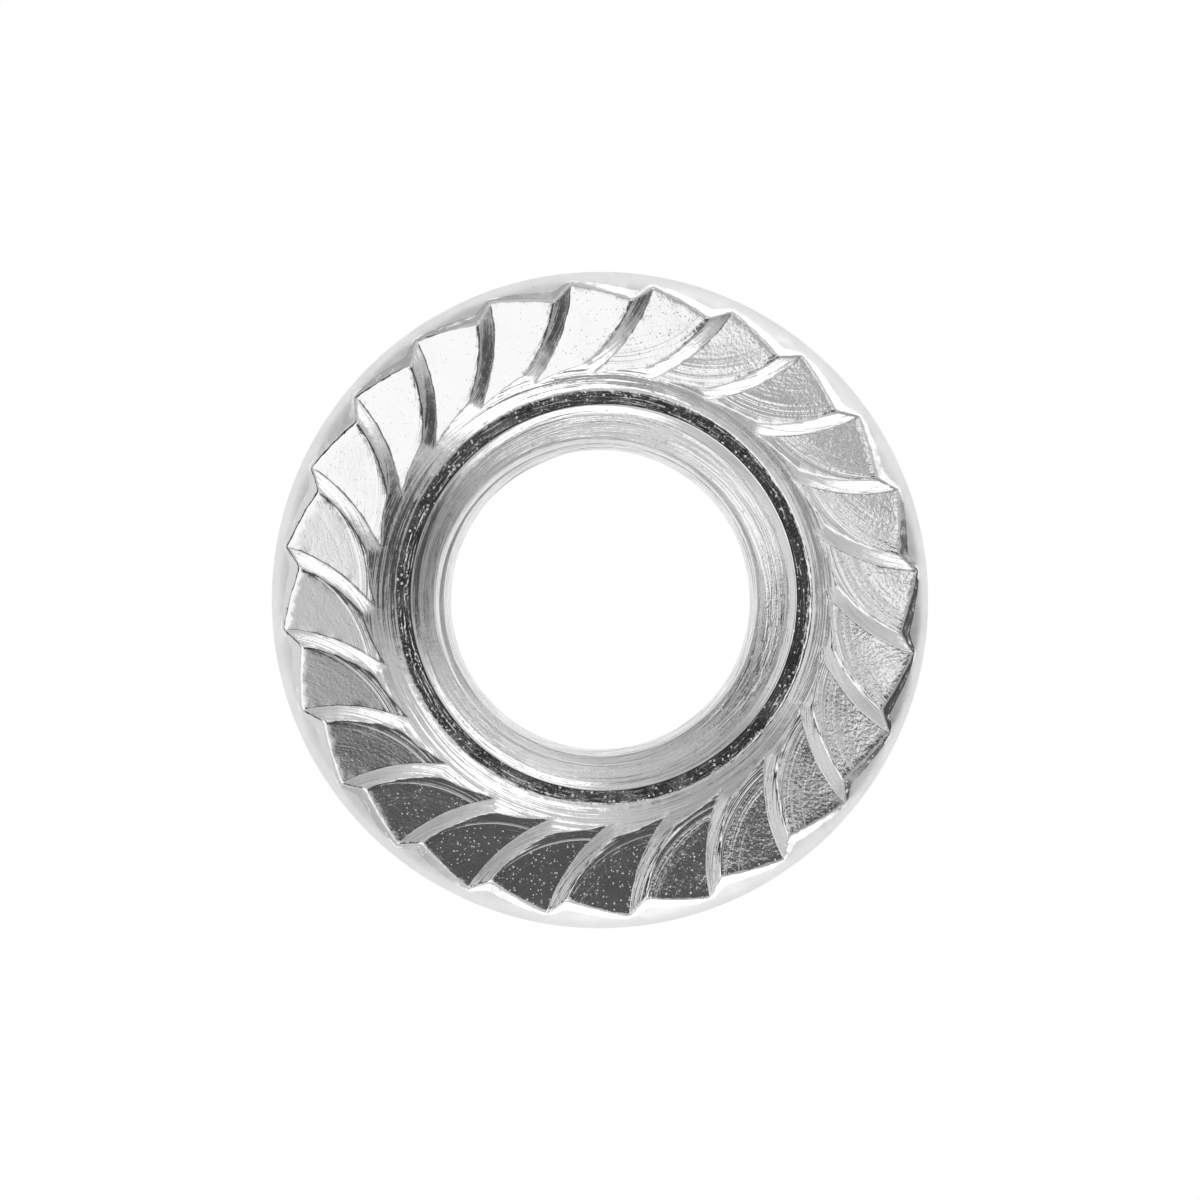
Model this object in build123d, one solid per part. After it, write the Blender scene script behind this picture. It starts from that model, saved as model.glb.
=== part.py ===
from build123d import *
from math import acos, cos, degrees, radians, sin, tan
import os

# Serrated hexagon flange nut, cold formed in one piece. Millimetres and degrees.
# The origin is the centre of the plain hexagon end, and +Z points to the serrated bearing face.

# Overall
total_height = 9.8          # plain end to the highest serration corner
across_flats = 14.0         # wrench size of the hexagon
flange_d = 17.9             # widest diameter of the flange

# Thread bore. The solid stops at the thread's minor diameter, and the bore is a plain wall.
thread_d = 10.0             # nominal major diameter
thread_pitch = 1.5
minor_allowance = 0.22      # opening of the minor diameter above its basic size
mouth_clearance = 0.5       # how far each thread mouth opens beyond the major diameter
mouth_slope = 30.0          # fall of the thread mouths from the horizontal
mouth_break_slope = 45.0    # fall of the short break outside the serrated end's mouth

# Flange
rim_bevel = 36.0            # fall of the bevel between the serrations and the rim
rim_r = 0.8                 # rounding of the rim above and below
rim_land = 0.3              # straight band between the two roundings
back_slope = 25.0           # fall of the flange's back cone towards the hexagon
root_fillet_r = 0.35        # radius where the back cone meets the hexagon

# Hexagon and its plain end
hex_edge_r = 0.3            # rounding of the six upright edges
end_face_clearance = 0.7    # how far the end face's circle stays inside the flats
end_chamfer_slope = 30.0    # fall of the corner chamfer

# Serrations: each is a flat ramp that ends in a steep conical wall along a circular crest
tooth_count = 24
tooth_slope = 11.0          # fall of each ramp
tooth_fall = 83.0           # direction each ramp falls in, turned from its crest centre's radius
tooth_wall = 45.0           # fall of each steep wall
tooth_phase = 12.33         # turn of the first crest centre from +X
crest_corner_r = 8.2        # distance of the serrations' outer corners from the axis
crest_centre_r = 9.935      # distance of the crest centres from the axis
crest_r = 3.395             # radius of the crests at their corners

# Recessed ring between the serrations and the thread mouth
ring_depth = 0.98           # floor of the ring below the serration corners
ring_outer_r = 5.67         # radius where the floor meets the slope that rises round it
ring_lip_slope = 45.0       # fall of that slope towards the floor

# Values that follow from the sizes above
bore_d = thread_d - 1.0825 * thread_pitch + minor_allowance
bore_r = bore_d / 2
mouth_r = (thread_d + mouth_clearance) / 2
flange_r = flange_d / 2
ring_z = total_height - ring_depth
hex_corner_r = across_flats / 2 / cos(radians(30))
end_face_r = (across_flats - end_face_clearance) / 2

# Length by which the cutting solids reach past what they cut
reach = 2.0


def rim_profile():
    """Half section of the flange, from the axis out around the rim and down its back cone."""
    bevel = radians(rim_bevel)
    back = radians(back_slope)
    arc_r = flange_r - rim_r
    start_r = arc_r + rim_r * sin(bevel)
    start_z = total_height - (start_r - crest_corner_r) * tan(bevel)
    upper_z = start_z - rim_r * cos(bevel)
    lower_z = upper_z - rim_land
    end_r = arc_r + rim_r * sin(back)
    end_z = lower_z - rim_r * cos(back)
    axis_z = end_z - end_r * tan(back)
    half = radians(rim_bevel / 2 + 45)
    low = radians(back_slope / 2 + 45)
    top = Polyline((0, total_height), (crest_corner_r, total_height), (start_r, start_z))
    upper = ThreePointArc(
        (start_r, start_z),
        (arc_r + rim_r * sin(half), upper_z + rim_r * cos(half)),
        (flange_r, upper_z),
    )
    lower = ThreePointArc(
        (flange_r, lower_z),
        (arc_r + rim_r * sin(low), lower_z - rim_r * cos(low)),
        (end_r, end_z),
    )
    land = Line((flange_r, upper_z), (flange_r, lower_z))
    back_line = Polyline((end_r, end_z), (0, axis_z), (0, total_height))
    return make_face(Curve() + [top, upper, land, lower, back_line])


def flange():
    """Flange as one turned solid, still flat where the serrations go."""
    section = Plane.XZ * rim_profile()
    return revolve(section, Axis.Z)


def hexagon():
    """Wrench hexagon with its corners chamfered at the plain end."""
    outline = RegularPolygon(hex_corner_r, 6)
    prism = extrude(fillet(outline.vertices(), hex_edge_r), ring_z)
    slope = tan(radians(end_chamfer_slope))
    outer = hex_corner_r + reach
    section = Polyline(
        (0, 0),
        (end_face_r, 0),
        (outer, (outer - end_face_r) * slope),
        (outer, total_height),
        (0, total_height),
        (0, 0),
    )
    blank = revolve(Plane.XZ * make_face(section), Axis.Z)
    return prism & blank


def corner_point():
    """Outer corner of the first serration's crest."""
    cosine = crest_corner_r**2 + crest_centre_r**2 - crest_r**2
    cosine = cosine / (2 * crest_corner_r * crest_centre_r)
    angle = radians(tooth_phase) - acos(cosine)
    return Vector(crest_corner_r * cos(angle), crest_corner_r * sin(angle), total_height)


def tooth():
    """One serration before it is trimmed to the flange: a cone cut off by its ramp's plane."""
    phase = radians(tooth_phase)
    centre = (crest_centre_r * cos(phase), crest_centre_r * sin(phase), ring_z)
    foot_r = crest_r + ring_depth / tan(radians(tooth_wall))
    cone = Pos(*centre) * Cone(
        foot_r, crest_r, ring_depth, align=(Align.CENTER, Align.CENTER, Align.MIN)
    )
    fall = radians(tooth_phase + tooth_fall)
    slope = radians(tooth_slope)
    normal = (sin(slope) * cos(fall), sin(slope) * sin(fall), cos(slope))
    ramp = Plane(origin=corner_point(), z_dir=normal)
    return split(cone, bisect_by=ramp, keep=Keep.BOTTOM)


def serrations(blank):
    """The ring of serrations, trimmed to the flange blank's bevel and rim."""
    first = tooth()
    pitch = 360 / tooth_count
    copies = [Rot(0, 0, k * pitch) * first for k in range(tooth_count)]
    ring = copies[0].fuse(*copies[1:])
    return ring & blank


def bore():
    """Everything the thread bore and its two mouths take out."""
    slope = tan(radians(mouth_slope))
    break_slope = tan(radians(mouth_break_slope))
    major_r = thread_d / 2
    neck_z = ring_z - (mouth_r - major_r) * break_slope
    section = Polyline(
        (0, -reach),
        (mouth_r, -reach),
        (mouth_r, 0),
        (bore_r, (mouth_r - bore_r) * slope),
        (bore_r, neck_z - (major_r - bore_r) * slope),
        (major_r, neck_z),
        (mouth_r, ring_z),
        (mouth_r, total_height + reach),
        (0, total_height + reach),
        (0, -reach),
    )
    return revolve(Plane.XZ * make_face(section), Axis.Z)


def ring_cut():
    """What the recessed ring takes off the inner ends of the serrations."""
    rise = ring_depth + reach
    top_r = ring_outer_r + rise / tan(radians(ring_lip_slope))
    place = Align.CENTER, Align.CENTER, Align.MIN
    return Pos(0, 0, ring_z) * Cone(ring_outer_r, top_r, rise, align=place)


def nut():
    """The whole nut as one solid."""
    blank = flange()
    low = split(blank, bisect_by=Plane.XY.offset(ring_z), keep=Keep.BOTTOM)
    wrench = hexagon()
    body = low + wrench
    body = fillet(new_edges(low, wrench, combined=body), root_fillet_r)
    body = body + (serrations(blank) - ring_cut())
    return body - bore()


os.makedirs("parts", exist_ok=True)
result = nut()
print("solids", len(result.solids()), "volume", result.volume, "valid", result.is_valid)
export_step(result, "parts/nut.step")
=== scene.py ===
"""Visual model of a serrated hexagon flange nut, bright zinc plated, in a small white studio.

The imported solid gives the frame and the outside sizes. One closed mesh stands for it: the forged
hexagon and flange, the ring of one-way serrations with its formed edges, and the cut thread.
Sizes are in millimetres and angles in degrees unless a name says otherwise.
"""

from __future__ import annotations

import logging
import math
from dataclasses import dataclass, field
from enum import IntEnum

import bmesh
import bpy
import numpy as np
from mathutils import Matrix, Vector
from mathutils.geometry import delaunay_2d_cdt

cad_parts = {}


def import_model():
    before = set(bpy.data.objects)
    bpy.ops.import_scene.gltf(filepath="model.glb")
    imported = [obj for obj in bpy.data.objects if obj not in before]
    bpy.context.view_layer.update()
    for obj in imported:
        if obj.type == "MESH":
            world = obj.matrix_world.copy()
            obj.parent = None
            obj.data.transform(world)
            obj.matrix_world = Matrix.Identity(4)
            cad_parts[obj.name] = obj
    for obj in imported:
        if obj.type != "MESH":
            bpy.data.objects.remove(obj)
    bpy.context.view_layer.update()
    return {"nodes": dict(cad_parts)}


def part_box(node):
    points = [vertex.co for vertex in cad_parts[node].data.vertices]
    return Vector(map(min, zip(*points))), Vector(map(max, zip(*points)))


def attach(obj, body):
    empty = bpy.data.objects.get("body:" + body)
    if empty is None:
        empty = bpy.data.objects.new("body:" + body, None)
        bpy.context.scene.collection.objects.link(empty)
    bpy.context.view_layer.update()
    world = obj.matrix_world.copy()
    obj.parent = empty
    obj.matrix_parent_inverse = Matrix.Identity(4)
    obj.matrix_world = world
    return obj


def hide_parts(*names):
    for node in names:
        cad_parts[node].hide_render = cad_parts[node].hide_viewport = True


LOG = logging.getLogger("flange_nut")
MM = 0.001
NODE = "nut"
WHITE = "ffffff"

TEETH = 24
SIDES = 6
MINOR_DROP = 1.0825  # a metric thread's major diameter less its minor one, in pitches
MERGE_GAP = 0.002  # vertices closer than this, in millimetres, are one


class Zone(IntEnum):
    """The differently finished zones of the nut's skin, in the order of its material slots."""

    SERRATION = 0
    SHEAR = 1
    RIM = 2
    RING = 3
    THREAD = 4
    HEXAGON = 5


def linear(code: str) -> tuple[float, float, float, float]:
    """Turns an sRGB hex colour into a linear one.

    Args:
        code: Six hex digits, with or without a leading #.

    Returns:
        Red, green, blue and an alpha of 1.
    """
    parts = [int(code.lstrip("#")[i : i + 2], 16) / 255 for i in (0, 2, 4)]
    red, green, blue = (
        v / 12.92 if v <= 0.04045 else ((v + 0.055) / 1.055) ** 2.4 for v in parts
    )
    return red, green, blue, 1.0


def add_node(
    tree: bpy.types.NodeTree,
    kind: str,
    inputs: dict[int | str, object] | None = None,
    **settings: object,
) -> bpy.types.Node:
    """Adds one node with its settings, constants and incoming links.

    Args:
        tree: The node tree to add to.
        kind: The node's type name.
        inputs: Input socket index or name to a constant, or to an output socket to link.
        **settings: Node properties, set before the sockets are looked up.

    Returns:
        The new node.
    """
    node = tree.nodes.new(kind)
    for name, value in settings.items():
        setattr(node, name, value)
    for key, value in (inputs or {}).items():
        socket = node.inputs[key]
        if isinstance(value, bpy.types.NodeSocket):
            tree.links.new(value, socket)
        else:
            socket.default_value = value
    return node


def turned(points: np.ndarray, degrees: float) -> np.ndarray:
    """Turns plan points about the nut's axis.

    Args:
        points: Array of x, y rows.
        degrees: Turn, counter-clockwise.

    Returns:
        The turned points.
    """
    c, s = math.cos(math.radians(degrees)), math.sin(math.radians(degrees))
    return points @ np.array([[c, s], [-s, c]])


def resampled(points: np.ndarray, step: float) -> np.ndarray:
    """Spreads points evenly along a line of points.

    Args:
        points: Array of x, y rows.
        step: Largest distance between the new points.

    Returns:
        The new points, with the same two ends.
    """
    lengths = np.concatenate([[0], np.cumsum(np.linalg.norm(np.diff(points, axis=0), axis=1))])
    places = np.linspace(0, lengths[-1], max(2, math.ceil(lengths[-1] / step) + 1))
    return np.stack([np.interp(places, lengths, points[:, i]) for i in (0, 1)], 1)


def directions(turn: np.ndarray) -> np.ndarray:
    """Unit vectors in plan, at angles in degrees from +X."""
    angle = np.radians(turn)
    return np.stack([np.cos(angle), np.sin(angle)], 1)


def bearing(point: np.ndarray) -> float:
    """Angle of one plan point from +X, in degrees."""
    return math.degrees(math.atan2(point[1], point[0]))


def bearings(points: np.ndarray) -> np.ndarray:
    """Angles of many plan points from +X, in degrees."""
    return np.degrees(np.arctan2(points[:, 1], points[:, 0]))


def revolved(section: np.ndarray, turns: np.ndarray) -> np.ndarray:
    """Turns rows of (radius, height) into points round the axis.

    Args:
        section: Array of rows by columns by (radius, height).
        turns: Angle of each column in radians.

    Returns:
        Array of rows by columns by x, y, z.
    """
    radius, height = section[..., 0], section[..., 1]
    return np.stack([radius * np.cos(turns), radius * np.sin(turns), height], -1)


def level_line(columns: int, radius: float, height: float) -> np.ndarray:
    """A level corner line of a skin: the same radius and height in every column."""
    return np.tile([radius, height], (columns, 1))


def joined(runs: list[np.ndarray]) -> np.ndarray:
    """Joins lines that start where the last one ended, without the doubled points."""
    return np.vstack([runs[0]] + [run[1:] for run in runs[1:]])


def beside(points: np.ndarray, gap: float) -> np.ndarray:
    """Points at a fixed distance to the left of a line of points.

    Args:
        points: Array of x, y rows.
        gap: Distance; a negative one is to the right.

    Returns:
        As many points as the line has.
    """
    way = np.gradient(points, axis=0)
    way /= np.linalg.norm(way, axis=1, keepdims=True)
    return points + gap * np.stack([-way[:, 1], way[:, 0]], 1)


def inside(loop: np.ndarray, points: np.ndarray) -> np.ndarray:
    """Tells which points lie inside a closed loop, by counting crossings to the right.

    Args:
        loop: The loop's corners.
        points: The points to test.

    Returns:
        One boolean per point.
    """
    x, y = points[:, 0, None], points[:, 1, None]
    a, b = loop, np.roll(loop, -1, axis=0)
    spans = (a[:, 1] > y) != (b[:, 1] > y)
    rise = np.where(b[:, 1] == a[:, 1], 1e-12, b[:, 1] - a[:, 1])
    cross = a[:, 0] + (y - a[:, 1]) * (b[:, 0] - a[:, 0]) / rise
    return (spans & (x < cross)).sum(1) % 2 == 1


def thinned(points: np.ndarray, kept: np.ndarray, least: float) -> np.ndarray:
    """Drops the points that lie too close to those already kept.

    Args:
        points: The points to thin.
        kept: The points that stay.
        least: Smallest allowed distance.

    Returns:
        The points that are far enough away.
    """
    if not len(points):
        return points
    gap = np.linalg.norm(points[:, None] - kept[None], axis=-1).min(1)
    return points[gap >= least]


def softer(low: np.ndarray, high: np.ndarray, width: float) -> np.ndarray:
    """Smaller of two surfaces, with the edge where they cross rounded off.

    Args:
        low: First surface's heights.
        high: Second surface's heights.
        width: Height difference inside which the rounding works.

    Returns:
        The rounded minimum.
    """
    near = np.clip(1 - np.abs(low - high) / width, 0, None)
    return np.minimum(low, high) - near**2 * width / 4


@dataclass(frozen=True)
class NutSizes:
    """Driving sizes of the nut, the same as those its solid is built from.

    Attributes:
        height: Whole height.
        flange_r: Outer radius of the flange.
        across_flats: Width of the hexagon.
        thread_r: Outer radius of the thread.
        pitch: Pitch of the thread.
        minor_allowance: Clearance of the thread's minor diameter.
        mouth_clearance: How much wider the mouths are than the thread, in diameter.
        mouth_slope: Slope of the plain end's mouth.
        rim_bevel: Slope of the bevel between the serrations and the rim.
        rim_r: Radius of the rounded rim.
        rim_land: Height of the straight part of the rim.
        back_slope: Slope of the flange's back.
        root_fillet: Fillet between the hexagon and the flange.
        hex_edge_r: Radius of the hexagon's upright edges.
        end_face_clearance: How much narrower the plain end's face is than the hexagon.
        end_chamfer: Slope of the corner chamfer at the plain end.
        ring_depth: Depth of the recessed ring.
        ring_outer_r: Outer radius of the recessed ring.
        columns: Number of mesh columns round the nut.
    """

    height: float
    flange_r: float
    across_flats: float = 14.0
    thread_r: float = 5.0
    pitch: float = 1.5
    minor_allowance: float = 0.22
    mouth_clearance: float = 0.5
    mouth_slope: float = 30.0
    rim_bevel: float = 36.0
    rim_r: float = 0.8
    rim_land: float = 0.3
    back_slope: float = 25.0
    root_fillet: float = 0.35
    hex_edge_r: float = 0.3
    end_face_clearance: float = 0.7
    end_chamfer: float = 30.0
    ring_depth: float = 0.98
    ring_outer_r: float = 5.67
    columns: int = 144

    @property
    def bore_r(self) -> float:
        """Radius of the thread's crests."""
        return self.thread_r - (MINOR_DROP * self.pitch - self.minor_allowance) / 2

    @property
    def mouth_r(self) -> float:
        """Outer radius of both thread mouths."""
        return self.thread_r + self.mouth_clearance / 2

    @property
    def ring_z(self) -> float:
        """Height of the recessed ring's floor."""
        return self.height - self.ring_depth


def rounded_rows(
    points: list[np.ndarray], cuts: list[float], steps: list[int], arc: int = 4
) -> np.ndarray:
    """Rows of a skin from the corner lines of its section, with the corners rounded off.

    Args:
        points: Corner lines in order, each an array of (radius, height) per column.
        cuts: Length taken off both sides of each corner by its rounding; ends are ignored.
        steps: Number of rows in the straight run after each corner.
        arc: Number of rows in each rounding.

    Returns:
        Array of rows by columns by (radius, height).
    """
    most_of_run = 0.45
    rows = [points[0]]
    start = points[0]
    for i in range(1, len(points)):
        here, back = points[i], points[i - 1]
        span = np.linalg.norm(here - back, axis=-1, keepdims=True)
        unit_in = (here - back) / np.maximum(span, 1e-9)
        last = i == len(points) - 1
        if last:
            end = here
        else:
            after = np.linalg.norm(points[i + 1] - here, axis=-1, keepdims=True)
            unit_out = (points[i + 1] - here) / np.maximum(after, 1e-9)
            cut = np.minimum(cuts[i], most_of_run * np.minimum(span, after))
            end, leave = here - unit_in * cut, here + unit_out * cut
        for k in range(1, steps[i - 1] + 1):
            rows.append(start + (end - start) * (k / steps[i - 1]))
        if last:
            break
        for k in range(1, arc + 1):
            t = k / arc
            rows.append(end * (1 - t) ** 2 + here * (2 * t * (1 - t)) + leave * t**2)
        start = leave
    return np.array(rows)


def grid_faces(rows: int, columns: int, wrap: bool) -> np.ndarray:
    """Quads of a grid whose vertices are stored row by row.

    Args:
        rows: Number of vertex rows.
        columns: Number of vertex columns.
        wrap: Whether the last column joins the first.

    Returns:
        Array of four vertex indices per quad.
    """
    width = columns if wrap else columns - 1
    r, c = np.meshgrid(np.arange(rows - 1), np.arange(width), indexing="ij")
    n = (c + 1) % columns
    quad = [r * columns + c, (r + 1) * columns + c, (r + 1) * columns + n, r * columns + n]
    return np.stack(quad, -1).reshape(-1, 4)


@dataclass
class Skin:
    """A piece of the nut's skin as plain arrays.

    Attributes:
        points: Array of x, y, z rows in millimetres.
        faces: Vertex indices of each face.
        zone: The finish of its faces.
    """

    points: np.ndarray
    faces: list[tuple[int, ...]]
    zone: Zone

    def to_mesh(self, name: str) -> bpy.types.Mesh:
        """Makes a mesh datablock in metres, with the zone as each face's material index.

        Args:
            name: The mesh's name.

        Returns:
            The mesh.
        """
        mesh = bpy.data.meshes.new(name)
        mesh.from_pydata((self.points * MM).tolist(), [], self.faces)
        mesh.polygons.foreach_set("material_index", [int(self.zone)] * len(self.faces))
        return mesh


@dataclass
class TileLines:
    """Lines that the tile of one serration is meshed along, as x, y rows.

    Attributes:
        loop: Closed outline of the tile.
        left: Its clockwise side, from the rim inwards.
        right: Its other side, from the rim inwards.
        crest: Crest of the serration.
        scallop: Foot of the slope round the ring.
        border: End of the serrations at the bevel.
        lip: End of the ramp at the slope round the ring.
        hem: Foot of the steep band outside the border.
        root: Root line on the clockwise side.
    """

    loop: np.ndarray
    left: np.ndarray
    right: np.ndarray
    crest: np.ndarray
    scallop: np.ndarray
    border: np.ndarray
    lip: np.ndarray
    hem: np.ndarray
    root: np.ndarray

    def fixed(self) -> list[np.ndarray]:
        """The lines that the mesh has to follow, the outline first."""
        return [self.loop, self.crest, self.scallop, self.border, self.lip, self.hem]


@dataclass
class SerrationRing:
    """The flange's face: 24 one-way serrations, the bevelled rim and the recessed ring.

    Attributes:
        sizes: Driving sizes of the nut.
        count: Number of serrations.
        slope: Slope of a serration's ramp.
        fall: Angle from the crest centre's bearing to the ramp's way down.
        wall: Slope of a serration's conical wall.
        lip_slope: Slope round the ring.
        phase: Bearing of the first serration's crest centre.
        corner_r: Distance of the first crest's highest point from the axis.
        centre_r: Distance of the crest centres from the axis.
        crest_r: Radius of the crests in plan.
        crest_round: Height over which a crest is rounded off.
        root_round: Height over which a root is rounded out.
        ring_round: Height over which the ring's floor is rounded into the slope round it.
        edge_r: Radius where the bevel would start at full height.
        shear_slope: Slope of the bright band at the serrations' ends.
        shear_wide: Widest part of that band.
        shear_taper: How fast it narrows where a serration reaches further out.
        shear_least: Narrowest part of that band.
        rim_sink: How far the rim lies below the solid's bevel.
        sink_run: Distance over which the band runs out into the rim.
        corner_wear: Angle over which the border's corners are worn round.
        line_step: Spacing of the mesh along the edges.
        fill_step: Spacing of the mesh on the open faces.
        least_gap: Smallest spacing of the mesh.
        line_samples: Number of points that a curved edge is worked out at.
        lip_samples: The same on the slope round the ring.
        foot_samples: Number of mesh points along the foot of that slope.
        side_gaps: Distances of the mesh rows beside an edge.
        border_gaps: The same beside the border.
        hem_gaps: The same beside the foot of the bright band.
        join_gaps: Distances of the mesh rows inside the joint with the rim.
        crest_span: First and last angle about the crest centre that a crest can take.
        root_span: The same for a root.
        edge_wear: How far the edges wander.
        wear_size: Size of a dent in them.
        wear_reach: Distance from an edge over which the wear fades out.
        wear_seed: Seed of the wear's pattern.
        join_angle: Angle on the rounded rim where the forging's skin takes over.
        ring_margin: Width of the ring's floor that belongs to the bore's skin.
    """

    sizes: NutSizes
    count: int = TEETH
    slope: float = 11.0
    fall: float = 83.0
    wall: float = 41.0
    lip_slope: float = 42.5
    phase: float = 12.33
    corner_r: float = 8.2
    centre_r: float = 9.935
    crest_r: float = 3.395
    crest_round: float = 0.065
    root_round: float = 0.02
    ring_round: float = 0.045
    edge_r: float = 8.16
    shear_slope: float = 41.5
    shear_wide: float = 0.28
    shear_taper: float = 0.37
    shear_least: float = 0.06
    rim_sink: float = 0.05
    sink_run: float = 0.15
    corner_wear: float = 0.5
    line_step: float = 0.075
    fill_step: float = 0.14
    least_gap: float = 0.016
    line_samples: int = 400
    lip_samples: int = 100
    foot_samples: int = 60
    side_gaps: tuple[float, ...] = (-0.05, -0.02, 0.02, 0.05)
    border_gaps: tuple[float, ...] = (-0.08, -0.045, -0.02, 0.02, 0.05)
    hem_gaps: tuple[float, ...] = (-0.04, 0.05, 0.1, 0.16)
    join_gaps: tuple[float, ...] = (0.045, 0.095)
    crest_span: tuple[float, float] = (262.0, 170.0)
    root_span: tuple[float, float] = (262.0, 190.0)
    edge_wear: float = 0.045
    wear_size: float = 0.28
    wear_reach: float = 0.12
    wear_seed: float = 7.0
    join_angle: float = 72.0
    ring_margin: float = 0.05

    def __post_init__(self) -> None:
        """Works out the first serration's ramp, crest centre and rim tangent."""
        s = self.sizes
        self.pitch = 360 / self.count
        cosine = self.corner_r**2 + self.centre_r**2 - self.crest_r**2
        turn = math.degrees(math.acos(cosine / (2 * self.corner_r * self.centre_r)))
        self.corner = turned(np.array([self.corner_r, 0.0]), self.phase - turn)
        self.centre = turned(np.array([self.centre_r, 0.0]), self.phase)
        self.downhill = turned(np.array([1.0, 0.0]), self.phase + self.fall)
        self.ramp = math.tan(math.radians(self.slope))
        self.steep = math.tan(math.radians(self.wall))
        self.arc_r = s.flange_r - s.rim_r
        bevel = math.radians(s.rim_bevel)
        self.bevel_end_r = self.arc_r + s.rim_r * math.sin(bevel)
        self.bevel = math.tan(bevel)
        self.rim_z = s.height - (self.bevel_end_r - self.edge_r) * self.bevel
        self.rim_z -= s.rim_r * math.cos(bevel) + self.rim_sink
        self.join_r = self.arc_r + s.rim_r * math.sin(math.radians(self.join_angle))
        self.inner_r = s.mouth_r + self.ring_margin
        self.lip_r = s.ring_outer_r
        self.lip = math.tan(math.radians(self.lip_slope))
        self.shear = math.tan(math.radians(self.shear_slope)) - self.bevel

    def teeth_height(self, plan: np.ndarray, soft: bool = True) -> np.ndarray:
        """Height of the serrations alone.

        Args:
            plan: Array of x, y rows.
            soft: Whether crests and roots are rounded.

        Returns:
            One height per row.
        """
        sharp = 1e-6
        crest, root = (self.crest_round, self.root_round) if soft else (sharp, sharp)
        best = np.full(len(plan), -self.sizes.height)
        for k in (-1, 0, 1, 2):
            local = turned(plan, -k * self.pitch)
            reach = np.linalg.norm(local - self.centre, axis=1)
            cone = self.sizes.height - (reach - self.crest_r) * self.steep
            flat = self.sizes.height - self.ramp * ((local - self.corner) @ self.downhill)
            best = -softer(-best, -softer(cone, flat, crest), root)
        return best

    def rim_height(self, radius: np.ndarray) -> np.ndarray:
        """Height of the bevel and the rounded rim.

        Args:
            radius: Distances from the axis.

        Returns:
            One height per distance.
        """
        s = self.sizes
        slant = s.height - (radius - self.edge_r) * self.bevel
        inside = np.clip(s.rim_r**2 - (radius - self.arc_r) ** 2, 0, None)
        bend = self.rim_z + self.rim_sink + np.sqrt(inside)
        return np.where(radius < self.bevel_end_r, slant, bend)

    def border_r(self, turn: np.ndarray) -> np.ndarray:
        """Radius where the serrations end at the bevel.

        Args:
            turn: Angles from +X.

        Returns:
            One radius per angle.
        """
        margin_in, margin_out, halvings = 0.3, 0.02, 30
        low = np.full(len(turn), self.edge_r - margin_in)
        high = np.full(len(turn), self.sizes.flange_r - margin_out)
        unit = directions(turn)
        for _ in range(halvings):
            mid = (low + high) / 2
            above = self.rim_height(mid) > self.teeth_height(unit * mid[:, None], False)
            low, high = np.where(above, mid, low), np.where(above, high, mid)
        return (low + high) / 2

    def worn_border_r(self, turn: np.ndarray) -> np.ndarray:
        """The border with its corners worn round, as the steep shear below it follows them.

        Args:
            turn: Angles from +X.

        Returns:
            One radius per angle.
        """
        samples = 5
        spread = np.linspace(-1, 1, samples) * self.corner_wear
        return np.mean([self.border_r(turn + off) for off in spread], axis=0)

    def shear_width(self, edge: np.ndarray) -> np.ndarray:
        """Width of the steep shear outside the border: widest at a crest's corner."""
        wide = self.shear_wide - (edge - self.edge_r) * self.shear_taper
        return np.clip(wide, self.shear_least, None)

    def height(self, plan: np.ndarray) -> np.ndarray:
        """Height of the whole face, with rounded edges and the steep shear along the rim.

        Args:
            plan: Array of x, y rows.

        Returns:
            One height per row.
        """
        radius = np.linalg.norm(plan, axis=1)
        edge = self.worn_border_r(bearings(plan))
        past = radius - edge
        wide = self.shear_width(edge)
        cut = self.shear * np.clip(past, 0, wide)
        back = np.clip((past - wide) / self.sink_run, 0, 1)
        back = back * back * (3 - 2 * back)
        rim = self.rim_height(radius) - (cut * (1 - back) + self.rim_sink * back)
        face = softer(self.teeth_height(plan), rim, self.crest_round)
        face = softer(face, self.lip_height(plan), self.root_round)
        floor = np.full(len(plan), self.sizes.ring_z)
        return -softer(-face, -floor, self.ring_round)

    def ramp_height(self, plan: np.ndarray, plane: int) -> np.ndarray:
        """Height of one serration's ramp plane.

        Args:
            plan: Array of x, y rows.
            plane: How many pitches the ramp lies from the first one.

        Returns:
            One height per row.
        """
        local = turned(plan, -plane * self.pitch)
        return self.sizes.height - self.ramp * ((local - self.corner) @ self.downhill)

    def lip_height(self, plan: np.ndarray) -> np.ndarray:
        """Height of the slope that rises round the ring."""
        return self.sizes.ring_z + (np.linalg.norm(plan, axis=1) - self.lip_r) * self.lip

    def lip_line(self, turn: np.ndarray) -> np.ndarray:
        """Points where the first ramp ends at the slope round the ring.

        Args:
            turn: Angles from +X.

        Returns:
            Array of x, y rows.
        """
        unit = directions(turn)
        rise = self.sizes.height - self.sizes.ring_z + self.ramp * (self.corner @ self.downhill)
        reach = (rise + self.lip_r * self.lip) / (self.lip + self.ramp * (unit @ self.downhill))
        return unit * reach[:, None]

    def open_part(self, line: np.ndarray, plane: int) -> np.ndarray:
        """The part of a crest or root line that lies between the rim and the ring's slope.

        Args:
            line: Points from the rim inwards.
            plane: The ramp plane that the line lies on.

        Returns:
            The points that are kept.
        """
        line = line[np.linalg.norm(line, axis=1) <= self.border_r(bearings(line))]
        cut_off = self.lip_height(line) < self.ramp_height(line, plane)
        return line[: int(np.argmax(cut_off))] if cut_off.any() else line

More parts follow.
